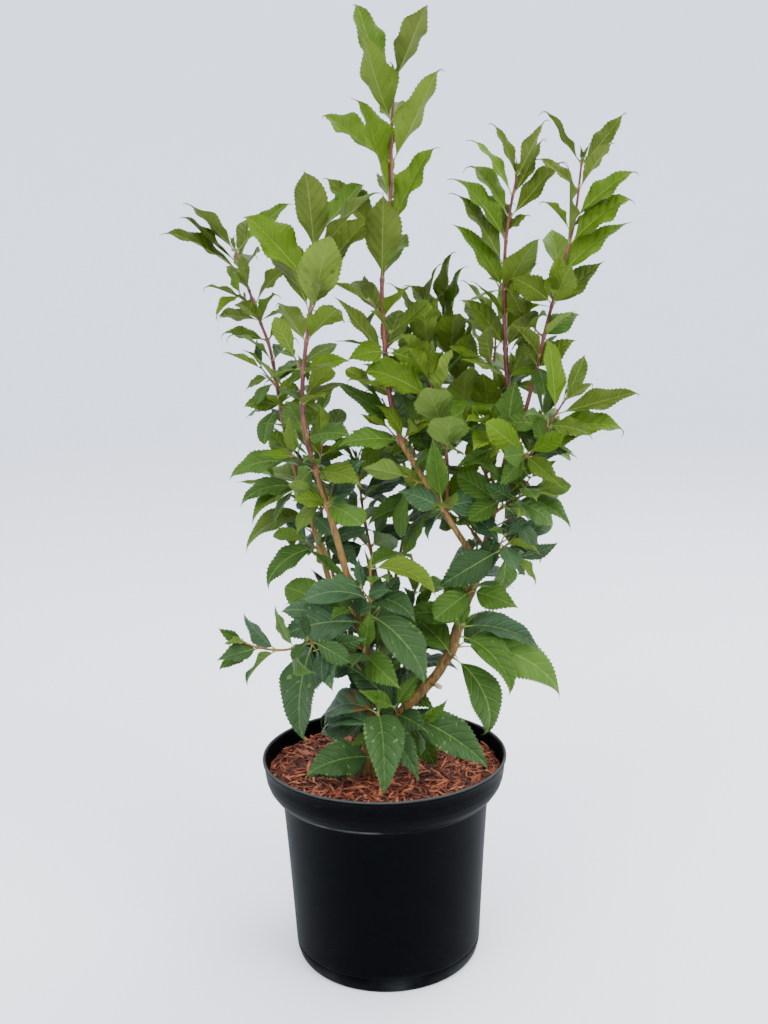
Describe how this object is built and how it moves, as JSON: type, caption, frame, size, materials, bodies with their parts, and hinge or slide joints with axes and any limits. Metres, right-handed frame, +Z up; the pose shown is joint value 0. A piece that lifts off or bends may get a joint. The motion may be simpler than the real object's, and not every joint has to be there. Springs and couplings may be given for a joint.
{
  "type": "potted forsythia shrub",
  "caption": "Young deciduous flowering shrub in leaf, with upright woody stems and opposite lance-shaped leaves, growing in a round black plastic nursery pot topped with bark mulch.",
  "frame": {"origin": "middle of the pot's flat underside, on the surface that it stands on", "axes": "+Z up along the pot's axis, -Y towards the front of the plant, +X to its right"},
  "size_m": [0.3489, 0.2474, 0.731],
  "materials": {
    "black_plastic": "satin, lightly scuffed",
    "dark_soil": "matt, crumbly",
    "brown_mulch": "matt, shredded",
    "tan_bark": "matt bark with small raised dots",
    "young_leaf": "soft sheen",
    "green_leaf": "soft sheen",
    "deep_leaf": "soft sheen"
  },
  "bodies": {
    "root": {"pot": "black_plastic", "potting_soil": "dark_soil", "bark_mulch": "brown_mulch", "stem_right": "tan_bark", "bough_centre": "tan_bark", "stem_left_front": "tan_bark", "stem_left_back": "tan_bark", "stem_back": "tan_bark", "foliage_centre": "young_leaf", "foliage_right_centre": "young_leaf", "foliage_far_right": "young_leaf", "foliage_left_centre": "green_leaf", "foliage_left": "young_leaf", "foliage_right_side": "green_leaf", "foliage_right_fan": "deep_leaf", "foliage_right_spur": "green_leaf", "foliage_back_right": "green_leaf", "foliage_inner": "green_leaf", "foliage_middle": "green_leaf", "foliage_inner_left": "green_leaf", "foliage_back": "deep_leaf", "foliage_low_middle": "green_leaf", "foliage_low_right": "green_leaf", "foliage_low_left": "deep_leaf", "foliage_low_front": "deep_leaf", "foliage_low_spur": "deep_leaf", "foliage_low_back": "deep_leaf", "foliage_rear": "deep_leaf", "foliage_rear_left": "deep_leaf", "foliage_fork": "green_leaf", "foliage_back_spur": "deep_leaf"}
  },
  "joints": []
}
